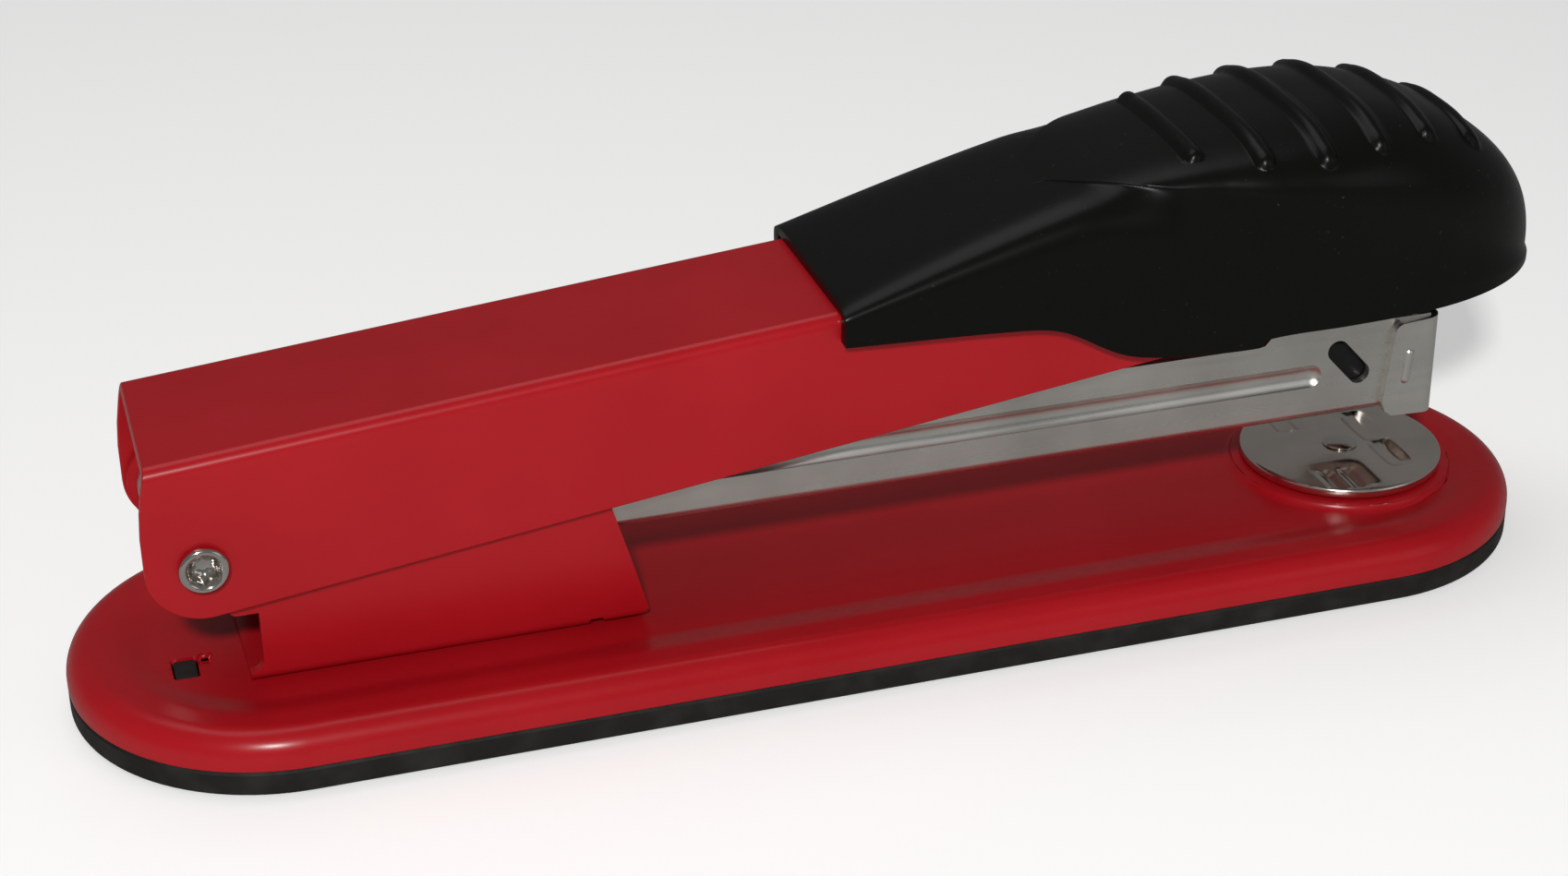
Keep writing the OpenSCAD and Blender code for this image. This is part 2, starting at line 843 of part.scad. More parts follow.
grip_rib_xs = [for (i = [0 : 5]) 35 + grip_rib_pitch * i];
grip_rib_w = 1.1;
grip_rib_foot = 0.5;
cap_stations = concat(
    [for (i = [0 : 9]) [cap_back + 34.4 * i / 9, 0]],
    [for (x = grip_rib_xs)
        each [[x - grip_rib_w / 2 - grip_rib_foot, 0], [x - grip_rib_w / 2, 1],
            [x + grip_rib_w / 2, 1], [x + grip_rib_w / 2 + grip_rib_foot, 0]]],
    [for (x = [67.6, 69.4, 71.3, 71.5, 72.8, 74, 74.9, 75.5, 75.8, cap_front]) [x, 0]]);

module grip_cap() {
    outer = [for (s = cap_stations) cap_row(s[0], cap_outer(s[0], s[1] * grip_rib_h))];
    inner = [for (s = cap_stations) cap_row(s[0], cap_inner(s[0]))];
    rings = len(cap_stations);
    count = len(outer[0]);
    first_inner = rings * count;
    points = concat([for (row = outer) each row], [for (row = inner) each row]);
    skins = [
        for (i = [0 : rings - 2])
            for (j = [0 : count - 2])
                let (a = i * count + j, b = a + count, c = first_inner + a, d = c + count)
                    each [[a, b + 1, b], [a, a + 1, b + 1], [c, d, d + 1], [c, d + 1, c + 1]]
    ];
    edges = [
        for (i = [0 : rings - 2])
            let (a = i * count, b = a + count, e = a + count - 1, f = e + count)
                each [[a, first_inner + b, first_inner + a], [a, b, first_inner + b],
                    [e, first_inner + e, first_inner + f], [e, first_inner + f, f]]
    ];
    last = (rings - 1) * count;
    ends = [
        for (j = [0 : count - 2])
            let (k = first_inner + j)
                each [[j, k + 1, j + 1], [j, k, k + 1],
                    [last + j, last + j + 1, last + k + 1], [last + j, last + k + 1, last + k]]
    ];
    color(black)
    polyhedron(points, concat(skins, edges, ends));
}

base_plate();
base_pad();
bracket();
bracket_rivets();
magazine_spring();
pivot_rivet();
anvil_post();
anvil_button();
anvil_spring();
anvil_disc();
magazine();
nose_plate();
staple_rail();
rail_rivets();
guide_rod();
rod_clip();
follower();
follower_spring();
arm();
driver_blade();
arm_spring();
driver_rivets();
grip_cap();
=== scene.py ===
"""Looks of a desk stapler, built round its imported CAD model.

Lengths are in millimetres until a mesh is made, which is in metres.
"""
import json
import math

import bmesh
import bpy
from mathutils import Matrix, Vector


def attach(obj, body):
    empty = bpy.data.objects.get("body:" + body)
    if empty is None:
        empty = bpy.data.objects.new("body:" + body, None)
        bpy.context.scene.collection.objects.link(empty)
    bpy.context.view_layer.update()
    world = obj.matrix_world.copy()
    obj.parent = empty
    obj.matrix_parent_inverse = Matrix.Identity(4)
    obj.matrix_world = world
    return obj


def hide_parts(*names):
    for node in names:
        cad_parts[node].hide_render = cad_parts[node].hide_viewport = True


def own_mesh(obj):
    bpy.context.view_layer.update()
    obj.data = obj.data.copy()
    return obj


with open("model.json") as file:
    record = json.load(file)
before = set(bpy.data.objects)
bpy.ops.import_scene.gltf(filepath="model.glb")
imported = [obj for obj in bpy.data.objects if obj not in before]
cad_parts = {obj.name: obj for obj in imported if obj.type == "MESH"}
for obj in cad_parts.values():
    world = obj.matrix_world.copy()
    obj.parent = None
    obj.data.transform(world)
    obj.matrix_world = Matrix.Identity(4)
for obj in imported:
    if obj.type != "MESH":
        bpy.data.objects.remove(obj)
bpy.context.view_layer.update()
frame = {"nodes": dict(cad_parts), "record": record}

MM = 0.001


# ---------- camera, floor and light ----------

# Angles are in radians and the lens is in millimetres.
CAMERA_PLACE = (-78.12, -246.74, 152.57)
CAMERA_YAW = 0.293
CAMERA_PITCH = 0.481
CAMERA_ROLL = 0.012
CAMERA_LENS = 67.57

FLOOR_HALF = 2500
FLOOR_WHITE, FLOOR_GREY = (0.86, 0.86, 0.85), (0.27, 0.27, 0.26)
FLOOR_GLOW, FLOOR_GREY_GLOW = 0.25, 0.06
WORLD_GLOW = 0.16
LIGHT_TARGET = (0, 0, 20)
# Each light's place, size and power in watts.
LIGHTS = {
    "key": ((-180, -490, 405), (50, 50), 2.9),
    "fill": ((380, -420, 240), (300, 300), 0.15),
    "top": ((-60, 160, 520), (420, 300), 0.65),
}


def make_camera():
    """The camera looks along +Y, turned by the yaw towards +X and tipped down by the pitch."""
    yaw, pitch, roll = CAMERA_YAW, CAMERA_PITCH, CAMERA_ROLL
    ahead = Vector((math.sin(yaw) * math.cos(pitch), math.cos(yaw) * math.cos(pitch), -math.sin(pitch)))
    level = Vector((math.cos(yaw), -math.sin(yaw), 0))
    down = ahead.cross(level)
    right = math.cos(roll) * level + math.sin(roll) * down
    up = math.sin(roll) * level - math.cos(roll) * down
    data = bpy.data.cameras.new("camera")
    data.lens = CAMERA_LENS
    data.sensor_width = 36
    data.clip_start = 0.01
    camera = bpy.data.objects.new("camera", data)
    camera.matrix_world = Matrix((
        (right.x, up.x, -ahead.x, CAMERA_PLACE[0] * MM),
        (right.y, up.y, -ahead.y, CAMERA_PLACE[1] * MM),
        (right.z, up.z, -ahead.z, CAMERA_PLACE[2] * MM),
        (0, 0, 0, 1)))
    bpy.context.scene.collection.objects.link(camera)
    bpy.context.scene.camera = camera


def make_light(name, place, size, power):
    data = bpy.data.lights.new(name, "AREA")
    data.shape = "RECTANGLE"
    data.size, data.size_y = size[0] * MM, size[1] * MM
    data.energy = power
    light = bpy.data.objects.new(name, data)
    light.location = Vector(place) * MM
    way = Vector(LIGHT_TARGET) - Vector(place)
    light.rotation_euler = way.to_track_quat("-Z", "Y").to_euler()
    bpy.context.scene.collection.objects.link(light)


def floor_paper():
    """White to the camera, but a dim grey in reflections, as in a dark room."""
    material, shader = new_material("floor_paper", FLOOR_WHITE, 0.9)
    shader.inputs["Emission Color"].default_value = (1, 1, 1, 1)
    mirrored = add_node(material, "ShaderNodeLightPath").outputs["Is Glossy Ray"]
    blend_base(material, shader, mirrored, FLOOR_GREY)
    glow = spread(material, mirrored, FLOOR_GLOW, FLOOR_GREY_GLOW)
    material.node_tree.links.new(glow, shader.inputs["Emission Strength"])
    return material


def make_studio():
    corners = [(-1, -1), (1, -1), (1, 1), (-1, 1)]
    points = [(x * FLOOR_HALF * MM, y * FLOOR_HALF * MM, 0) for x, y in corners]
    mesh = bpy.data.meshes.new("floor")
    mesh.from_pydata(points, [], [(0, 1, 2, 3)])
    mesh.materials.append(floor_paper())
    floor = bpy.data.objects.new("floor", mesh)
    bpy.context.scene.collection.objects.link(floor)
    world = bpy.data.worlds.new("studio")
    world.use_nodes = True
    world.node_tree.nodes["Background"].inputs["Color"].default_value = (1, 1, 1, 1)
    world.node_tree.nodes["Background"].inputs["Strength"].default_value = WORLD_GLOW
    bpy.context.scene.world = world
    bpy.context.scene.view_settings.view_transform = "Standard"
    for name, (place, size, power) in LIGHTS.items():
        make_light(name, place, size, power)


# ---------- materials ----------

def new_material(name, colour, roughness, metallic=0.0):
    """A material and its shader, with the plain colour and roughness that its nodes then vary."""
    material = bpy.data.materials.new(name)
    material.use_nodes = True
    shader = material.node_tree.nodes["Principled BSDF"]
    shader.inputs["Base Color"].default_value = (*colour, 1)
    shader.inputs["Roughness"].default_value = roughness
    shader.inputs["Metallic"].default_value = metallic
    return material, shader


def add_node(material, kind, **values):
    node = material.node_tree.nodes.new(kind)
    for key, value in values.items():
        setattr(node, key, value)
    return node


def object_position(material, stretch=(1, 1, 1)):
    """Position in the object's own metres, stretched along its axes."""
    coordinates = add_node(material, "ShaderNodeTexCoord")
    mapping = add_node(material, "ShaderNodeMapping")
    mapping.inputs["Scale"].default_value = stretch
    material.node_tree.links.new(coordinates.outputs["Object"], mapping.inputs["Vector"])
    return mapping.outputs["Vector"]


def noise(material, position, scale, detail=2.0):
    node = add_node(material, "ShaderNodeTexNoise")
    node.inputs["Scale"].default_value = scale
    node.inputs["Detail"].default_value = detail
    material.node_tree.links.new(position, node.inputs["Vector"])
    return node.outputs["Fac"]


def spread(material, value, low, high, start=0.0, end=1.0):
    """Maps a noise value from start..end to low..high."""
    node = add_node(material, "ShaderNodeMapRange")
    node.inputs["From Min"].default_value = start
    node.inputs["From Max"].default_value = end
    node.inputs["To Min"].default_value = low
    node.inputs["To Max"].default_value = high
    material.node_tree.links.new(value, node.inputs["Value"])
    return node.outputs["Result"]


def blend_base(material, shader, factor, other):
    """Blends the shader's base colour into another one by the factor."""
    node = add_node(material, "ShaderNodeMix", data_type="RGBA")
    node.inputs["A"].default_value = tuple(shader.inputs["Base Color"].default_value)
    node.inputs["B"].default_value = (*other, 1)
    material.node_tree.links.new(factor, node.inputs["Factor"])
    material.node_tree.links.new(node.outputs["Result"], shader.inputs["Base Color"])


def vary_roughness(material, shader, value, low, high):
    """Spreads the middle of a noise value over a range of roughness."""
    result = spread(material, value, low, high, 0.3, 0.7)
    material.node_tree.links.new(result, shader.inputs["Roughness"])


def add_bump(material, shader, height, distance, strength=1.0, below=None):
    node = add_node(material, "ShaderNodeBump")
    node.inputs["Distance"].default_value = distance
    node.inputs["Strength"].default_value = strength
    material.node_tree.links.new(height, node.inputs["Height"])
    if below is not None:
        material.node_tree.links.new(below, node.inputs["Normal"])
    material.node_tree.links.new(node.outputs["Normal"], shader.inputs["Normal"])
    return node.outputs["Normal"]


def red_paint():
    """Semi-gloss paint with a slight orange peel."""
    material, shader = new_material("red_paint", (0.33, 0.004, 0.008), 0.36)
    position = object_position(material)
    tint = spread(material, noise(material, position, 60, 3), 0, 1, 0.3, 0.7)
    blend_base(material, shader, tint, (0.37, 0.006, 0.011))
    vary_roughness(material, shader, noise(material, position, 900, 3), 0.30, 0.42)
    peel = add_bump(material, shader, noise(material, position, 700, 2), 0.00002, 0.35)
    add_bump(material, shader, noise(material, position, 4200, 2), 0.000006, 0.5, peel)
    shader.inputs["Specular IOR Level"].default_value = 0.05
    shader.inputs["Coat Weight"].default_value = 0.42
    shader.inputs["Coat Roughness"].default_value = 0.25
    return material


def grip_plastic():
    """Fine-grained moulded plastic with specks of dust."""
    material, shader = new_material("grip_plastic", (0.003, 0.003, 0.0025), 0.3)
    position = object_position(material)
    dust = spread(material, noise(material, position, 2600, 4), 0, 1, 0.70, 0.78)
    blend_base(material, shader, dust, (0.04, 0.038, 0.034))
    vary_roughness(material, shader, noise(material, position, 420, 3), 0.25, 0.34)
    add_bump(material, shader, noise(material, position, 3000, 3), 0.00002, 0.4)
    shader.inputs["Specular IOR Level"].default_value = 0.04
    shader.inputs["Coat Weight"].default_value = 0.22
    shader.inputs["Coat Roughness"].default_value = 0.3
    return material


def plain_plastic():
    material, shader = new_material("black_plastic", (0.007, 0.007, 0.007), 0.4)
    position = object_position(material)
    vary_roughness(material, shader, noise(material, position, 500, 3), 0.3, 0.46)
    add_bump(material, shader, noise(material, position, 1800, 3), 0.00002, 0.4)
    shader.inputs["Specular IOR Level"].default_value = 0.2
    return material


def pad_rubber():
    """Matt rubber, a little dusty."""
    material, shader = new_material("pad_rubber", (0.008, 0.007, 0.006), 0.62)
    position = object_position(material)
    dust = spread(material, noise(material, position, 240, 4), 0, 1, 0.45, 0.8)
    blend_base(material, shader, dust, (0.022, 0.020, 0.017))
    vary_roughness(material, shader, noise(material, position, 600, 3), 0.55, 0.75)
    add_bump(material, shader, noise(material, position, 1300, 3), 0.00005, 0.5)
    shader.inputs["Specular IOR Level"].default_value = 0.3
    return material


def metal(name, colour, dark, roughness, grain, bump):
    """Bare metal with drawing lines along X, longer with a lower grain."""
    material, shader = new_material(name, colour, roughness, 1.0)
    lines = noise(material, object_position(material, (grain, 1, 1)), 1500, 3)
    patches = noise(material, object_position(material), 90, 3)
    blend_base(material, shader, spread(material, patches, 0, 1, 0.35, 0.7), dark)
    vary_roughness(material, shader, lines, roughness * 0.75, roughness * 1.3)
    add_bump(material, shader, lines, bump, 0.5)
    return material


# Each metal's light and dark colours, roughness, grain and height of its lines in metres.
METALS = {
    "magazine_steel": ((0.74, 0.73, 0.69), (0.58, 0.57, 0.53), 0.32, 0.02, 0.000012),
    "spring_steel": ((0.46, 0.46, 0.44), (0.32, 0.32, 0.31), 0.36, 0.2, 0.000008),
    "chrome": ((0.66, 0.63, 0.59), (0.52, 0.49, 0.46), 0.13, 0.4, 0.000003),
    "anvil_chrome": ((0.74, 0.67, 0.61), (0.60, 0.54, 0.49), 0.18, 0.3, 0.000004),
}
MATERIALS = {
    "red_paint": red_paint(),
    "grip_plastic": grip_plastic(),
    "black_plastic": plain_plastic(),
    "pad_rubber": pad_rubber(),
}
for metal_name, values in METALS.items():
    MATERIALS[metal_name] = metal(metal_name, *values)


# ---------- mesh tools ----------

def mesh_from(name, points, faces):
    """A smooth-shaded mesh from points in millimetres."""
    mesh = bpy.data.meshes.new(name)
    mesh.from_pydata([tuple(c * MM for c in p) for p in points], [], faces)
    mesh.validate()
    smooth_faces(mesh)
    return mesh


def smooth_faces(mesh):
    for face in mesh.polygons:
        face.use_smooth = True


def smooth(low, high, value):
    """0 below low, 1 above high, and a smooth rise between them."""
    t = min(max((value - low) / (high - low), 0), 1)
    return t * t * (3 - 2 * t)


def arc(centre, radius, start, end, steps):
    """Points on an arc, with angles in degrees."""
    turns = [math.radians(start + (end - start) * i / steps) for i in range(steps + 1)]
    return [(centre[0] + radius * math.cos(t), centre[1] + radius * math.sin(t)) for t in turns]


def loft(name, rows, closed_rows=False, closed_ring=False, ends=False):
    """Joins rows of points: closed_rows joins each row's ends, closed_ring the last row to the first."""
    count = len(rows[0])
    faces = []
    for i in range(len(rows) if closed_ring else len(rows) - 1):
        a, b = i * count, (i + 1) % len(rows) * count
        for j in range(count if closed_rows else count - 1):
            k = (j + 1) % count
            faces.append((a + j, a + k, b + k, b + j))
    if ends:
        last = (len(rows) - 1) * count
        faces += [tuple(range(count - 1, -1, -1)), tuple(range(last, last + count))]
    return mesh_from(name, [p for row in rows for p in row], faces)


def outward(mesh):
    """Turns every face outwards."""
    work = bmesh.new()
    work.from_mesh(mesh)
    bmesh.ops.recalc_face_normals(work, faces=work.faces)
    work.to_mesh(mesh)
    work.free()
    return mesh


def prism(outline, low, high, axes="xzy"):
    """A solid with its outline along the first two axes, from low to high along the third."""
    order = [axes.index(c) for c in "xyz"]
    rows = [[tuple((*p, depth)[k] for k in order) for p in outline] for depth in (low, high)]
    return outward(loft("prism", rows, closed_rows=True, ends=True))


def turned(profile, steps=48, place=(0, 0, 0), axis="z"):
    """A closed solid turned from (radius, height) points; both ends of the profile lie on the axis."""
    points, faces = [], []
    rings = profile[1:-1]
    for i in range(steps):
        turn = 2 * math.pi * i / steps
        points += [(r * math.cos(turn), r * math.sin(turn), h) for r, h in rings]
    count = len(rings)
    points += [(0, 0, profile[0][1]), (0, 0, profile[-1][1])]
    for i in range(steps):
        a, b = i * count, (i + 1) % steps * count
        faces += [(a + j, b + j, b + j + 1, a + j + 1) for j in range(count - 1)]
        faces += [(len(points) - 2, b, a), (len(points) - 1, a + count - 1, b + count - 1)]
    if axis == "y":
        points = [(x, -h, y) for x, y, h in points]
    elif axis == "-y":
        points = [(x, h, y) for x, y, h in points]
    moved = [tuple(p[k] + place[k] for k in range(3)) for p in points]
    return outward(mesh_from("turned", moved, faces))


def cylinder(radius, low, high, steps=32, place=(0, 0, 0), axis="z"):
    return turned([(0, low), (radius, low), (radius, high), (0, high)], steps, place, axis)


def capsule(start, end, radius, steps=24, rings=8):
    """A round bar with ball ends between two points."""
    way = Vector(end) - Vector(start)
    profile = [(radius * math.sin(t), -radius * math.cos(t))
               for t in [math.pi / 2 * i / rings for i in range(rings + 1)]]
    profile += [(r, way.length - h) for r, h in reversed(profile)]
    mesh = turned(profile, steps)
    aim = way.to_track_quat("Z", "Y").to_matrix().to_4x4()
    mesh.transform(Matrix.Translation(Vector(start) * MM) @ aim)
    return mesh


def combine(mesh, tool, operation="DIFFERENCE"):
    """Joins, cuts or intersects two meshes; only the result is left."""
    pair = [bpy.data.objects.new("work", m) for m in (mesh, tool)]
    for item in pair:
        bpy.context.scene.collection.objects.link(item)
    change = pair[0].modifiers.new("change", "BOOLEAN")
    change.operation, change.solver, change.object = operation, "EXACT", pair[1]
    changed = pair[0].evaluated_get(bpy.context.evaluated_depsgraph_get())
    result = bpy.data.meshes.new_from_object(changed)
    for item in pair:
        bpy.data.objects.remove(item)
    smooth_faces(result)
    return result


def joined(*meshes):
    """Puts separate solids into one mesh."""
    work = bmesh.new()
    for mesh in meshes:
        work.from_mesh(mesh)
    result = bpy.data.meshes.new("joined")
    work.to_mesh(result)
    work.free()
    smooth_faces(result)
    return result


def round_edges(piece, width, angle=35, segments=3):
    bevel = piece.modifiers.new("edge_round", "BEVEL")
    bevel.width = width * MM
    bevel.segments = segments
    bevel.limit_method = "ANGLE"
    bevel.angle_limit = math.radians(angle)
    bevel.use_clamp_overlap = True
    weighted = piece.modifiers.new("flat_faces", "WEIGHTED_NORMAL")
    weighted.keep_sharp = True


def place_piece(name, mesh, slot, body, *nodes, edge=0.0):
    mesh.name = name
    piece = bpy.data.objects.new(name, mesh)
    bpy.context.scene.collection.objects.link(piece)
    mesh.materials.clear()
    mesh.materials.append(MATERIALS[slot])
    for face in mesh.polygons:
        face.material_index = 0
    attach(piece, body)
    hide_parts(*nodes)
    if edge:
        round_edges(piece, edge)
    return piece


# ---------- base ----------

BASE_R, BASE_ARC_X = 20.2, 54.8
PAD_H, FLOOR_Z, RIM_Z, RIM_R, SHEET = 2.6, 5.5, 6.2, 2.6, 1.0
RECESS_R, RIM_INNER_R = 11.9, 16.2
ANVIL_X, ANVIL_Z, ANVIL_R = 57.7, 7.44, 10.5
BOSS_R, BOSS_FILLET, BOSS_FOOT_Z = 12.3, 1.0, 4.7
PIVOT_X, PIVOT_Z = -61.8, 19.2
SHANK_R, SHANK_HOLE_R, BUTTON_HOLE_R = 1.5, 1.56, 5.4
PEG, PEG_SIZE, PEG_GAP = (-64.15, -4.1), (2.5, 3.8), 0.2
LANCE, LANCE_SIZE = (-62.2, -2.4), (1.3, 1.0, 0.6)
# Cuts reach this far to each side of the middle, past every wall.
CUT_REACH = 12


def stadium(section, steps=56):
    """Sweeps (distance, height) points round the base's outline and closes the middle flat."""
    rows = []
    for end, start in ((BASE_ARC_X, -90), (-BASE_ARC_X, 90)):
        for i in range(steps + 1):
            turn = math.radians(start + 180 * i / steps)
            rows.append([(end + d * math.cos(turn), d * math.sin(turn), z) for d, z in section])
    count = len(section)
    mesh = loft("stadium", rows, closed_ring=True)
    work = bmesh.new()
    work.from_mesh(mesh)
    work.verts.ensure_lookup_table()
    for j in (0, count - 1):
        work.faces.new([work.verts[i * count + j] for i in range(len(rows))])
    work.to_mesh(mesh)
    work.free()
    return outward(mesh)


def rounded_box(place, size, low, high, corner):
    """An upright box with round corners, its middle at place."""
    reach = (size[0] / 2 - corner, size[1] / 2 - corner)
    outline = []
    for i, (sx, sy) in enumerate(((1, 1), (-1, 1), (-1, -1), (1, -1))):
        centre = (place[0] + sx * reach[0], place[1] + sy * reach[1])
        outline += arc(centre, corner, 90 * i, 90 * i + 90, 5)
    return prism(outline, low, high, "xyz")


def base_section():
    """Out over the ramp and the rim, down to the foot, and back a sheet's thickness inside."""
    middle, lip, ramp_steps = 4.0, 0.25, 12
    climb = RIM_Z - FLOOR_Z
    ramp = [(RECESS_R + (RIM_INNER_R - RECESS_R) * t, FLOOR_Z + climb * smooth(0, 1, t))
            for t in [i / ramp_steps for i in range(ramp_steps + 1)]]
    inside = [(d, z - SHEET) for d, z in ramp]
    rim = (BASE_R - RIM_R, RIM_Z - RIM_R)
    outer = arc(rim, RIM_R, 90, 0, 18)
    inner = arc(rim, RIM_R - SHEET, 0, 90, 12)
    foot = arc((BASE_R - lip, PAD_H + lip), lip, 0, -90, 4) + [(BASE_R - SHEET, PAD_H)]
    section = [(middle, FLOOR_Z)] + ramp + outer + foot + inner + inside[::-1]
    return section + [(middle, FLOOR_Z - SHEET)]


def anvil_boss():
    """The low pedestal under the anvil, with a hollow fillet round its foot."""
    boss = [(0, BOSS_FOOT_Z), (BOSS_R, BOSS_FOOT_Z), (BOSS_R, FLOOR_Z)]
    boss += arc((BOSS_R, FLOOR_Z + BOSS_FILLET), BOSS_FILLET, 270, 202, 10)
    boss += [(11.2, RIM_Z), (0, RIM_Z)]
    return turned(boss, 96, (ANVIL_X, 0, 0))


def lanced_tab():
    """A tongue of the floor that is bent up at its free end."""
    width, length, height = LANCE_SIZE
    tongue = [(LANCE[0] + width / 2 * u, LANCE[1] + length / 2 * v)
              for u, v in ((-1, -1), (1, -1), (0.9, 0.4), (0.4, 1), (-0.4, 1), (-0.9, 0.4))]
    tab = prism(tongue, FLOOR_Z - 0.3, FLOOR_Z + height, "xyz")
    for vertex in tab.vertices:
        if vertex.co.z > FLOOR_Z * MM and vertex.co.y > LANCE[1] * MM:
            vertex.co.z -= (height - 0.1) * MM
    return tab


def make_base_plate():
    below, above = 3, 8
    shell = combine(stadium(base_section()), anvil_boss(), "UNION")
    shell = combine(shell, cylinder(SHANK_HOLE_R, 0, 9, place=(ANVIL_X, 0, 0)))
    shell = combine(shell, rounded_box(PEG, PEG_SIZE, below, above, 0.35))
    slit = (LANCE[0], LANCE[1] - LANCE_SIZE[1])
    shell = combine(shell, rounded_box(slit, LANCE_SIZE[:2], below, above, 0.3))
    shell = combine(shell, lanced_tab(), "UNION")
    place_piece("base_shell", shell, "red_paint", "root", "base_plate", edge=0.12)


def make_base_pad():
    middle, floor, lip, foot, chamfer = 4, 1.6, 1.6, 0.6, 0.25
    section = [(middle, floor), (BASE_R - lip, floor), (BASE_R - lip, PAD_H),
               (BASE_R - chamfer, PAD_H), (BASE_R, PAD_H - chamfer)]
    section += arc((BASE_R - foot, foot), foot, 0, -90, 8) + [(middle, 0)]
    pad = combine(stadium(section), cylinder(BUTTON_HOLE_R, -1, 4, 64, (ANVIL_X, 0, 0)))
    peg_size = (PEG_SIZE[0] - 2 * PEG_GAP, PEG_SIZE[1] - 2 * PEG_GAP)
    peg = rounded_box(PEG, peg_size, floor - 0.3, FLOOR_Z - PEG_GAP, 0.3)
    pad = combine(pad, peg, "UNION")
    place_piece("rubber_pad", pad, "pad_rubber", "root", "base_pad", edge=0.15)


# ---------- sheet channels ----------

ARM_HALF, ARM_SHEET, ARM_FOLD = 10.0, 0.9, 1.3
ARM_BACK_X, ARM_BACK_Z, ARM_FRONT_X, ARM_SLOPE = -65.9, 29.75, 61.3, 5.0
ARM_LOWER_SLOPE, ARM_ROUND_R = 7.35, 5.3
BRACKET_HALF, BRACKET_SHEET, BRACKET_FOLD = 8.9, 1.0, 1.2
BRACKET_RIVET_XS, BRACKET_RIVET_R = (-48, -32), 1.5
MAGAZINE_HALF, MAGAZINE_Z, MAGAZINE_TOP = 7.6, 15.1, 25.3
MAGAZINE_SHEET, MAGAZINE_FLOOR, MAGAZINE_FOLD = 0.9, 0.8, 1.0
MAGAZINE_END_X, MAGAZINE_STEP_X = 62.6, 44.7
GROOVE_XS, GROOVE_Z, GROOVE_R, GROOVE_OUT = (-40, 49.5), 20.1, 1.6, 0.98
SLOT, SLOT_R, SLOT_REACH, SLOT_TURN = (53.75, 21.1), 1.15, 1.88, -48
NOSE_SHEET, NOSE_CORNER, NOSE_FRONT_X, NOSE_BACK_X = 0.8, 1.3, 63.5, 50


def arm_top(x):
    return ARM_BACK_Z + (x - ARM_BACK_X) * math.tan(math.radians(ARM_SLOPE))


def channel_section(half, sheet, floor_sheet, low, high, corner):
    """The (y, z) outline of a channel that is open at the top."""
    inner = max(corner - sheet, 0.15)
    wall = half - sheet
    outside = [(-half, high)] + arc((-half + corner, low + corner), corner, 180, 270, 10)
    outside += arc((half - corner, low + corner), corner, 270, 360, 10) + [(half, high)]
    floor = low + floor_sheet
    inside = [(wall, high)] + arc((wall - inner, floor + inner), inner, 360, 270, 6)
    inside += arc((-wall + inner, floor + inner), inner, 270, 180, 6) + [(-wall, high)]
    return outside + inside


def side_cut(section, ends, outline, turn=None):
    """A channel along X between its ends, cut to a side outline; turn tips it before the cut."""
    bar = prism(section, *ends, "yzx")
    if turn is not None:
        bar.transform(turn)
    return combine(bar, prism(outline, -CUT_REACH, CUT_REACH), "INTERSECT")


def pierce(mesh):
    """Cuts the hole of the pivot rivet through both walls."""
    return combine(mesh, cylinder(SHANK_HOLE_R, -CUT_REACH, CUT_REACH, 48, (PIVOT_X, 0, PIVOT_Z), "y"))


def make_arm():
    section = channel_section(ARM_HALF, ARM_SHEET, ARM_SHEET, 0, 40, ARM_FOLD)
    upturned = [(y, -z) for y, z in section]
    slope = Matrix.Rotation(math.radians(-ARM_SLOPE), 4, "Y")
    lift = Matrix.Translation(Vector((ARM_BACK_X, 0, ARM_BACK_Z)) * MM)
    lower = arc((PIVOT_X, PIVOT_Z), ARM_ROUND_R, 180, 270 + ARM_LOWER_SLOPE, 24)
    rise = (ARM_FRONT_X - lower[-1][0]) * math.tan(math.radians(ARM_LOWER_SLOPE))
    over = 45
    front = [(ARM_FRONT_X, lower[-1][1] + rise), (ARM_FRONT_X, over), (ARM_BACK_X + 0.5, over)]
    back = [(ARM_BACK_X + dx, ARM_BACK_Z + dz) for dx, dz in ((0, 1), (-0.6, -2), (-1.0, -4.5), (-1.2, -7))]
    arm = side_cut(upturned, (-8, 137), lower + front + back, lift @ slope)
    place_piece("arm_channel", pierce(arm), "red_paint", "arm", "arm", edge=0.22)


def make_bracket():
    back, rear, tail = -58.5, -57.2, -26
    bottom, tail_z = 4.5, 6.4
    section = channel_section(BRACKET_HALF, BRACKET_SHEET, BRACKET_SHEET, FLOOR_Z, 30, BRACKET_FOLD)
    outline = arc((PIVOT_X, PIVOT_Z), 5, 90, 232, 16) + [(-60.4, 14.2)]
    outline += arc((-59.2, 13.8), 0.8, 180, 270, 4) + [(rear, 13), (rear, 8)]
    outline += arc((rear - 1.3, 8), 1.3, 0, -90, 6)
    outline += [(back, 6.7), (back, bottom), (tail, bottom), (tail, tail_z)]
    outline += [(-24.7, tail_z), (-24.7, 6), (-21.2, 6)] + arc((-21.1, 7), 1, 270, 340, 5)
    outline += [(-21.7, 12.3), (-23.3, 17.8), (-24, 21), (-50, 23.8)]
    bracket = side_cut(section, (-70, -15), outline)
    for x in BRACKET_RIVET_XS:
        bracket = combine(bracket, cylinder(BRACKET_RIVET_R, 0, 9, place=(x, 0, 0)))
    place_piece("bracket_channel", pierce(bracket), "red_paint", "root", "bracket", edge=0.2)


def slanted_slot():
    """The staple window: two half rounds joined by straight sides."""
    turn = math.radians(SLOT_TURN)
    reach = Vector((math.cos(turn), math.sin(turn))) * SLOT_REACH
    outline = arc(Vector(SLOT) + reach, SLOT_R, SLOT_TURN - 90, SLOT_TURN + 90, 12)
    outline += arc(Vector(SLOT) - reach, SLOT_R, SLOT_TURN + 90, SLOT_TURN + 270, 12)
    return prism(outline, -CUT_REACH, CUT_REACH)


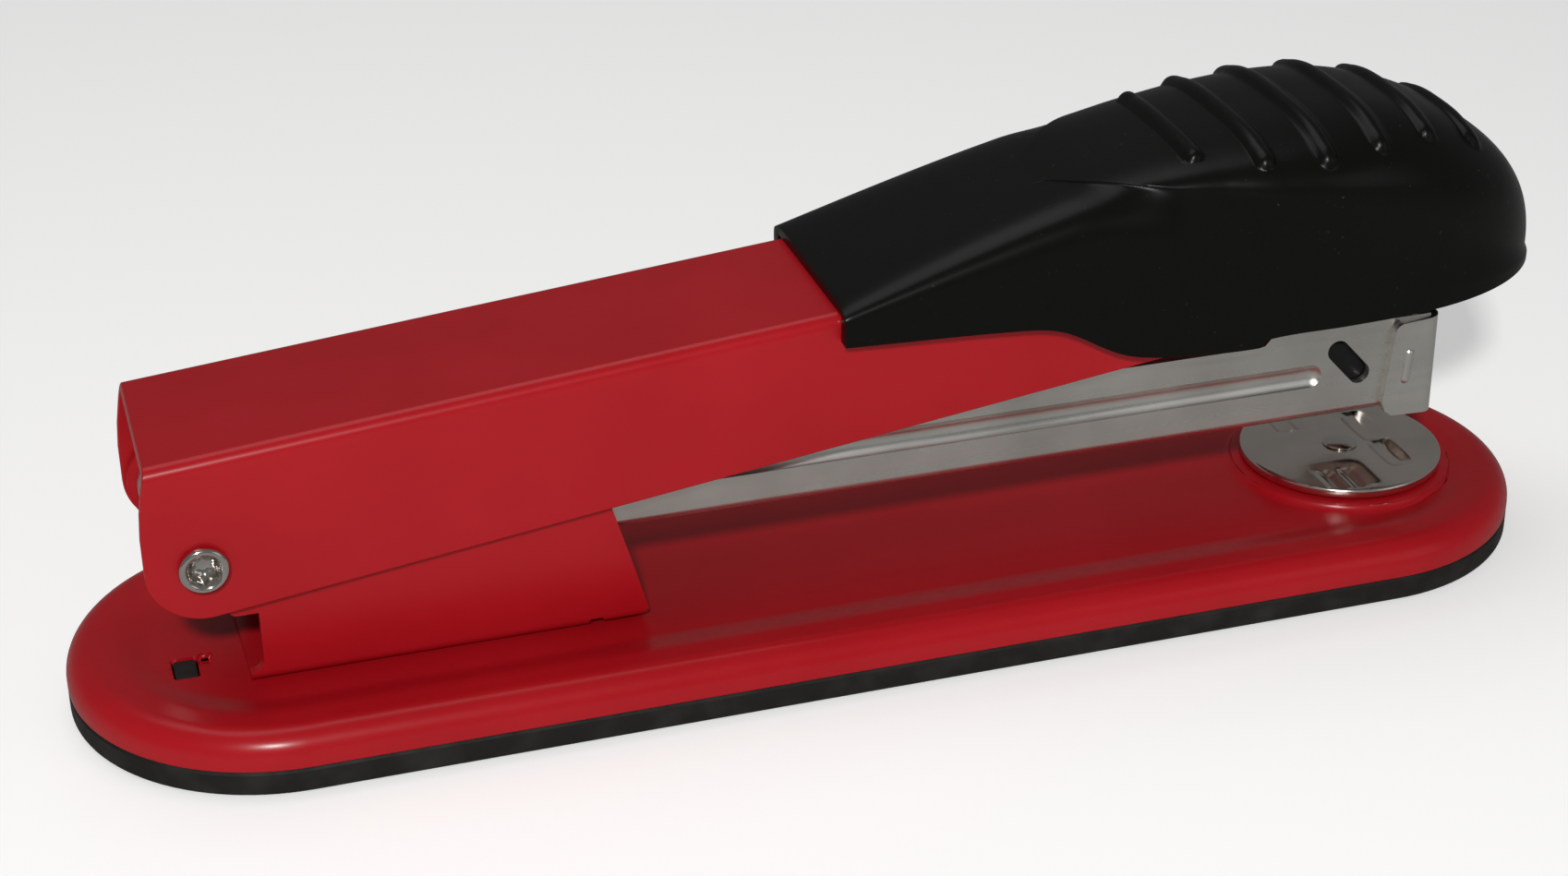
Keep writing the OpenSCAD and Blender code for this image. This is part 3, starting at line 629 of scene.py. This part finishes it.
def make_magazine():
    step, under = MAGAZINE_STEP_X, 14
    section = channel_section(MAGAZINE_HALF, MAGAZINE_SHEET, MAGAZINE_FLOOR, MAGAZINE_Z, 30,
                              MAGAZINE_FOLD)
    outline = arc((PIVOT_X, PIVOT_Z), 4.1, 130, 270, 20) + [(PIVOT_X + 1, under)]
    outline += [(MAGAZINE_END_X, under), (MAGAZINE_END_X, MAGAZINE_TOP), (step + 0.9, MAGAZINE_TOP)]
    outline += [(step + 0.3, 25.1), (step - 0.4, 24.3), (step - 0.9, 24.2), (-60, 24.2)]
    magazine = side_cut(section, (-70, 65), outline)
    for side in (-1, 1):
        y = side * (MAGAZINE_HALF + GROOVE_OUT)
        ends = [(x, y, GROOVE_Z) for x in GROOVE_XS]
        magazine = combine(magazine, capsule(*ends, GROOVE_R, 40))
    magazine = combine(magazine, slanted_slot())
    staple_exit = rounded_box((61.9, 0), (2.8, 13.4), under, 16.8, 0.3)
    magazine = combine(magazine, staple_exit)
    place_piece("magazine_channel", pierce(magazine), "magazine_steel", "magazine", "magazine", edge=0.14)


def make_nose_plate():
    """A strip wrapped round the front, with a small pressed rib on each cheek."""
    inner, back, corner = MAGAZINE_HALF, NOSE_BACK_X, NOSE_CORNER
    outer = inner + NOSE_SHEET
    bend_x, bend_y = NOSE_FRONT_X - corner, outer - corner
    around = [(back, -outer)] + arc((bend_x, -bend_y), corner, -90, 0, 10)
    around += arc((bend_x, bend_y), corner, 0, 90, 10) + [(back, outer), (back, inner)]
    around += [(MAGAZINE_END_X, inner), (MAGAZINE_END_X, -inner), (back, -inner)]
    outline = [(58.7, 14.6), (64, 14.4), (64, MAGAZINE_TOP), (62.0, 25.1)]
    outline += arc((59.4, 23.9), 1.0, 95, 175, 6) + [(57.5, 16.2), (57.9, 15.2)]
    wrap = prism(around, 10, 30, "xyz")
    plate = combine(wrap, prism(outline, -CUT_REACH, CUT_REACH), "INTERSECT")
    for side in (-1, 1):
        y = side * (outer - 0.35)
        plate = combine(plate, capsule((59.9, y, 18.6), (60.2, y, 21.4), 0.6, 20), "UNION")
    place_piece("nose_wrap", plate, "magazine_steel", "magazine", "nose_plate", edge=0.12)


# ---------- anvil ----------

ANVIL_HOLE_R = 1.7
FRONT_POCKET_X, POCKET_Y, POCKET_REACH = 61.9, 3.15, 3.2
REAR_POCKET_X, REAR_GROOVE_XS = 54.9, (53.6, 55.8)


def anvil_depth(x, y):
    """Depth of the pressed pockets at a place on the disc.

    The clinching pockets lie in front, and the long pinning pockets with two grooves each behind.
    """
    side = abs(y)
    from_front = abs(x - FRONT_POCKET_X)
    round_ends = max(1 - ((side - POCKET_Y) / POCKET_REACH) ** 2, 0) ** 0.5
    front = (1 - smooth(0.4, 1.75, from_front)) * round_ends
    from_flare = abs(x - FRONT_POCKET_X + 0.2)
    flare = (1 - smooth(1.2, 3.2, from_flare)) * (1 - smooth(4.5, 7.2, side))
    from_rear = abs(x - REAR_POCKET_X)
    rear = (1 - smooth(1.2, 3.2, from_rear)) * smooth(3.4, 5.6, side) * (1 - smooth(8.6, 9.9, side))
    from_groove = min(abs(x - groove) for groove in REAR_GROOVE_XS)
    grooves = (1 - smooth(0.1, 1.0, from_groove)) * smooth(4.4, 5.0, side) * (1 - smooth(8.9, 9.5, side))
    return 0.68 * front + 0.16 * flare + 0.36 * rear + 0.34 * grooves


def make_anvil_disc():
    around, across, edge, thick = 256, 76, 0.3, 1.0
    reach = ANVIL_R - edge - ANVIL_HOLE_R
    rings = [ANVIL_HOLE_R + reach * i / across for i in range(across + 1)]
    rim = arc((ANVIL_R - edge, ANVIL_Z - edge), edge, 70, 0, 5)
    bottom = ANVIL_Z - thick
    below = [(ANVIL_R, bottom + 0.1), (ANVIL_R - 0.1, bottom), (ANVIL_HOLE_R, bottom)]
    rows = []
    for i in range(around):
        turn = 2 * math.pi * i / around
        ahead, aside = math.cos(turn), math.sin(turn)
        flat = [(r, ANVIL_Z - anvil_depth(ANVIL_X + r * ahead, r * aside)) for r in rings]
        rows.append([(ANVIL_X + r * ahead, r * aside, z) for r, z in flat + rim + below])
    disc = outward(loft("disc", rows, closed_rows=True, closed_ring=True))
    place_piece("anvil_plate", disc, "anvil_chrome", "anvil", "anvil_disc")


def make_anvil_post():
    """The post, with its flat riveted head in the disc's middle."""
    head = [(0, 0.5), (SHANK_R, 0.5)]
    head += [(r, ANVIL_Z + rise) for r, rise in ((SHANK_R, 0.02), (ANVIL_HOLE_R, 0.04), (1.84, 0.1))]
    head += [(1.82 * math.cos(t), ANVIL_Z + 0.14 + 0.2 * math.sin(t))
             for t in [0.1 * i for i in range(1, 15)]]
    post = turned(head + [(0, ANVIL_Z + 0.34)], 64, (ANVIL_X, 0, 0))
    place_piece("anvil_pin", post, "chrome", "anvil_post", "anvil_post")


# ---------- pivot rivet and springs ----------

def make_pivot_rivet():
    """A hollow rivet: a shank and, at each end, a rolled rim round a flared cup with six petals."""
    reach = ARM_HALF + 0.06
    rim_r, roll, petals = 2.36, 0.42, 6
    half = [(0, 0), (SHANK_R, 0), (SHANK_R, reach), (rim_r - roll, reach)]
    half += [(rim_r - roll + roll * math.cos(t), reach + roll + roll * math.sin(t))
             for t in [math.pi * (-0.45 + i / 14 * 1.25) for i in range(15)]]
    half += [(r, reach + out) for r, out in ((1.55, 0.42), (1.42, 0.1), (1.3, -0.35))]
    half += [(0.9, reach - 0.75), (0.3, reach - 0.85), (0, reach - 0.85)]
    ends = []
    for axis in ("y", "-y"):
        end = turned(half, 72, (PIVOT_X, 0, PIVOT_Z), axis)
        for vertex in end.vertices:
            out = Vector((vertex.co.x / MM - PIVOT_X, vertex.co.z / MM - PIVOT_Z))
            if 0.5 < out.length < 1.6 and abs(vertex.co.y) / MM > reach - 0.8:
                petal = 1 - 0.10 * (0.5 + 0.5 * math.cos(petals * math.atan2(out.y, out.x)))
                vertex.co.x = (PIVOT_X + out.x * petal) * MM
                vertex.co.z = (PIVOT_Z + out.y * petal) * MM
        ends.append(end)
    place_piece("pivot_hollow_rivet", joined(*ends), "chrome", "root", "pivot_rivet")


def helix(radius, wire, length, turns, steps=28, sides=10, dead=0.75):
    """A compression spring along Z whose end turns lie closed."""
    rows = []
    total = int(turns * steps)
    for i in range(total + 1):
        turn, done = 2 * math.pi * i / steps, i / total * turns
        lead = 2 * wire * dead
        open_part = min(max((done - dead) / (turns - 2 * dead), 0), 1)
        height = min(done, dead) / dead * lead + open_part * (length - 2 * lead)
        height += max(done - turns + dead, 0) / dead * lead
        row = []
        for j in range(sides):
            roll = 2 * math.pi * j / sides
            out = radius + wire * math.cos(roll)
            row.append((out * math.cos(turn), out * math.sin(turn), height + wire * math.sin(roll)))
        rows.append(row)
    return outward(loft("helix", rows, closed_rows=True, ends=True))


def make_springs():
    wire, back, front, rod_z = 0.25, -54.9, 47.7, 19.9
    spring = helix(2.2, wire, front - back, 40)
    along_rod = Matrix.Rotation(math.pi / 2, 4, "Y")
    spring.transform(Matrix.Translation(Vector((back, 0, rod_z)) * MM) @ along_rod)
    piece = place_piece("rail_spring", spring, "spring_steel", "magazine", "follower_spring")
    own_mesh(piece)
    low, high = 1.75, 4.25
    spring = helix(3.2, wire, high - low, 3, 40)
    spring.transform(Matrix.Translation(Vector((ANVIL_X, 0, low)) * MM))
    piece = place_piece("button_spring", spring, "spring_steel", "root", "anvil_spring")
    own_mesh(piece)


# ---------- grip cap ----------

CAP_BACK, CAP_FRONT, CAP_ROUND_X, CAP_CLOSE_X, CAP_WALL = -1.0, 75.9, 54.0, 71.4, 1.8
CREST_X, CREST_Z, CAP_BACK_TOP, CAP_TIP_Z = 52.0, 48.2, 36.5, 29.6
# Powers of the curves: the rise to the crest, the round front seen from the side and from above,
# and the arch of the rear part.
CAP_RISE, CAP_ROUND, CAP_PLAN_ROUND, CAP_ARCH = 1.6, 1.95, 2.45, 0.4
# Lines along the cap as (x, z) or, for the half widths, (x, y).
CAP_BOTTOM = [(-1, 32.8), (17, 32), (21, 31.2), (27, 28), (32, 27), (41.5, 26.6), (42.3, 27.4),
              (51, 27.7), (60, 28.1), (CAP_FRONT, 28.9)]
CAP_SHOULDER = [(-1, 34.4), (12, 35.7), (22, 36.5), (30, 36.3), (38, 34.5), (48, 32.2), (62, 30.2),
                (CAP_FRONT, 29.2)]
CAP_CREASE = [(-1, 36.2), (8, 38.8), (14, 40.8), (21, 43.1), (26, 43.9), (32, 43.8), (37, 43.4),
              (42, 42.8), (50, 41.8), (60, 38.4), (68, 33.8), (CAP_FRONT, 29.4)]
CAP_SKIRT_HALF = [(-1, 11.6), (15, 11.8), (40, 12.1), (60, 12.6), (CAP_FRONT, 12.8)]
CAP_CREASE_HALF = [(-1, 9.4), (8, 7.5), (15, 4.5), (21, 3), (24.5, 6.4), (28, 9), (32, 10.8),
                   (37, 12.1), (42, 13.4), (50, 14.1), (60, 13.1), (CAP_FRONT, 11.2)]
RIB_XS = [35 + 6.1 * i for i in range(6)]
RIB_REACH = [9.0, 12.0, 13.0, 12.0, 10.0, 8.0]
RIB_HALF, RIB_HEIGHT = 1.05, 0.62
PAD_LIFT = 0.25
SKIRT_STEPS, FLANK_STEPS, CROWN_STEPS = 5, 20, 64


def along(line, x):
    """A smooth curve through a line's points, read at x."""
    i = 0
    while i < len(line) - 2 and x >= line[i + 1][0]:
        i += 1

    def slope(k):
        a, b = max(k - 1, 0), min(k + 1, len(line) - 1)
        return (line[b][1] - line[a][1]) / (line[b][0] - line[a][0])

    span = line[i + 1][0] - line[i][0]
    t = (x - line[i][0]) / span
    a, b = line[i][1], line[i + 1][1]
    da, db = slope(i) * span, slope(i + 1) * span
    return a + da * t + (3 * (b - a) - 2 * da - db) * t ** 2 + (2 * (a - b) + da + db) * t ** 3


def cap_top(x):
    """The crown's top line: a slope that flattens out at the crest, then a full round to the tip."""
    if x < CREST_X:
        behind = (CREST_X - x) / (CREST_X - CAP_BACK)
        return CREST_Z - (CREST_Z - CAP_BACK_TOP) * behind ** CAP_RISE
    ahead = (x - CREST_X) / (CAP_FRONT - CREST_X)
    return CAP_TIP_Z + (CREST_Z - CAP_TIP_Z) * max(1 - ahead ** CAP_ROUND, 0) ** (1 / CAP_ROUND)


def cap_taper(x):
    """The plan view closes to a round front: 1 along the sides, almost 0 at the tip."""
    if x < CAP_ROUND_X:
        return 1.0
    reach = (x - CAP_ROUND_X) / (CAP_FRONT - CAP_ROUND_X)
    return math.sqrt(max(1 - reach ** CAP_PLAN_ROUND, 0.006))


def rib_lift(x, y):
    """Height of the nearest grip rib, a round bar with slightly bulbous ends."""
    place = min(range(len(RIB_XS)), key=lambda i: abs(x - RIB_XS[i]))
    past = max(abs(y) - (RIB_REACH[place] - RIB_HALF), 0)
    away = math.hypot(x - RIB_XS[place], past) / RIB_HALF
    bulb = 1 + 0.3 * smooth(RIB_REACH[place] - 3, RIB_REACH[place] - 1, abs(y))
    return RIB_HEIGHT * bulb * (1 - away ** 2) ** 0.8 if away < 1 else 0.0


def pad_lift(x, t):
    """The thumb pad stands proud of the flank along the crease, most where the crease starts."""
    return PAD_LIFT * smooth(20, 26, x) * (1 - smooth(30, 50, x)) * smooth(0, 0.05, t)


def arch_point(skirt, shoulder, top, turn):
    y = skirt * max(math.cos(turn), 0) ** CAP_ARCH
    return Vector((y, shoulder + (top - shoulder) * math.sin(turn) ** CAP_ARCH))


def cap_half(x, skirt, crease, low, shoulder, edge, top, raised):
    """Half a section: up the skirt, over the flank to the crease, then over the crown to its middle.

    The outer skin, which is raised by the ribs, is one plain arch behind the thumb pad.
    """
    full = smooth(20, 36, x)
    arched = 1 - smooth(22, 38, x) if raised else 0.0
    rise = edge - shoulder
    bends = [Vector((skirt, shoulder)), Vector((skirt, shoulder + 0.22 * rise)),
             Vector((max(crease, skirt) - 0.6 * full, shoulder + 0.62 * rise)),
             Vector((crease, edge))]
    bend = math.acos(min((crease / skirt) ** (1 / CAP_ARCH), 1))
    half = [(skirt, low + (shoulder - low) * i / SKIRT_STEPS) for i in range(SKIRT_STEPS)]
    for i in range(FLANK_STEPS):
        t = i / FLANK_STEPS
        weights = ((1 - t) ** 3, 3 * t * (1 - t) ** 2, 3 * t * t * (1 - t), t ** 3)
        point = sum((w * p for w, p in zip(weights, bends)), Vector((0, 0)))
        half.append(tuple(point.lerp(arch_point(skirt, shoulder, top, bend * t), arched)))
    for i in range(CROWN_STEPS + 1):
        t = i / CROWN_STEPS
        turn = math.pi / 2 * t
        point = Vector((crease * max(math.cos(turn), 0) ** (1 - 0.3 * full),
                        edge + (top - edge) * math.sin(turn) ** (2 - 1.1 * full)))
        point = point.lerp(arch_point(skirt, shoulder, top, bend + (math.pi / 2 - bend) * t), arched)
        y, z = (point.x if i < CROWN_STEPS else 0.0), point.y
        lift = rib_lift(x, y) if raised else 0.0
        pad = pad_lift(x, t) if raised else 0.0
        half.append((y + lift * 0.6 * math.cos(turn), z + lift * (0.4 + 0.6 * math.sin(turn)) + pad))
    return half


def cap_outer(x):
    taper = cap_taper(x)
    low = along(CAP_BOTTOM, x)
    shoulder = max(along(CAP_SHOULDER, x), low + 0.1)
    edge = max(along(CAP_CREASE, x), shoulder + 0.1)
    return cap_half(x, along(CAP_SKIRT_HALF, x) * taper, along(CAP_CREASE_HALF, x) * taper,
                    low, shoulder, edge, max(cap_top(x), edge + 0.1), True)


def cap_inner(x):
    """The hollow inside, which clears the arm and closes before the front."""
    low = along(CAP_BOTTOM, x)
    if x > CAP_CLOSE_X:
        count = SKIRT_STEPS + FLANK_STEPS + CROWN_STEPS
        reach = 0.9 * along(CAP_SKIRT_HALF, x) * cap_taper(x)
        return [(reach * (1 - i / count), low + 0.03 + 0.02 * i / count) for i in range(count + 1)]
    inner_taper = cap_taper(x + CAP_WALL)
    over_arm = x < ARM_FRONT_X + 0.3
    room = ARM_HALF + 0.05 if over_arm else 0
    roof = arm_top(x) + 0.05 if over_arm else 0
    wide = smooth(36, 46, x)
    skirt = max(along(CAP_SKIRT_HALF, x) * inner_taper - CAP_WALL, room)
    crease = max(along(CAP_CREASE_HALF, x) * inner_taper - CAP_WALL, room)
    shoulder = max(along(CAP_SHOULDER, x) - CAP_WALL / 2, low + 0.2)
    under_edge = along(CAP_CREASE, x) - 0.7 * CAP_WALL
    edge = max(roof * (1 - wide) + under_edge * wide, shoulder + 0.2, roof)
    top = max(min(cap_top(x) - CAP_WALL, cap_top(min(x + CAP_WALL, CAP_FRONT))), edge + 0.05)
    return cap_half(x, skirt, crease, low, shoulder, edge, top, False)


def cap_stations():
    """Places along the cap: even behind the ribs, finer over them, and closing up to the tip."""
    steps_back, steps_front, step = 48, 40, 0.28
    ribs_back, ribs_front = RIB_XS[0] - 2, RIB_XS[-1] + 2
    count = round((ribs_front - ribs_back) / step)
    stations = [CAP_BACK + (ribs_back - CAP_BACK) * i / steps_back for i in range(steps_back)]
    stations += [ribs_back + (ribs_front - ribs_back) * i / count for i in range(count)]
    return stations + [ribs_front + (CAP_FRONT - ribs_front) * math.sin(math.pi / 2 * i / steps_front)
                       for i in range(steps_front + 1)]


def close_ends(mesh, rows):
    """Fills the gap between the outer and the inner skin at the first and the last row."""
    wide = len(rows[0])
    work = bmesh.new()
    work.from_mesh(mesh)
    work.verts.ensure_lookup_table()
    for start in (0, (len(rows) - 1) * wide):
        for j in range(wide // 2 - 1):
            ring = [start + j, start + j + 1, start + wide - 2 - j, start + wide - 1 - j]
            work.faces.new([work.verts[k] for k in ring])
    bmesh.ops.recalc_face_normals(work, faces=work.faces)
    work.to_mesh(mesh)
    work.free()
    smooth_faces(mesh)


def make_grip_cap():
    rows = []
    for x in cap_stations():
        outer, inner = cap_outer(x), cap_inner(x)
        row = [(x, -y, z) for y, z in outer] + [(x, y, z) for y, z in outer[-2::-1]]
        row += [(x, y, z) for y, z in inner] + [(x, -y, z) for y, z in inner[-2::-1]]
        rows.append(row)
    cap = outward(loft("cap", rows, closed_rows=True))
    close_ends(cap, rows)
    place_piece("grip_moulding", cap, "grip_plastic", "arm", "grip_cap", edge=0.3)


# ---------- everything ----------

make_camera()
make_studio()
make_base_plate()
make_base_pad()
make_arm()
make_bracket()
make_magazine()
make_nose_plate()
make_anvil_disc()
make_anvil_post()
make_pivot_rivet()
make_springs()
make_grip_cap()

# The CAD nodes that still show get their material and slightly rounded edges.
SLOT_OF = {part["node"]: part["material_slot"] for part in frame["record"]["subparts"]}
ROUNDED = ["bracket_rivets", "anvil_button", "rail_rivets", "guide_rod", "rod_clip", "staple_rail",
           "follower", "driver_blade", "driver_rivets", "arm_spring", "magazine_spring"]
for name, node in frame["nodes"].items():
    for slot in node.material_slots:
        slot.material = MATERIALS[SLOT_OF[name]]
    if name in ROUNDED:
        round_edges(node, 0.08, 40, 2)
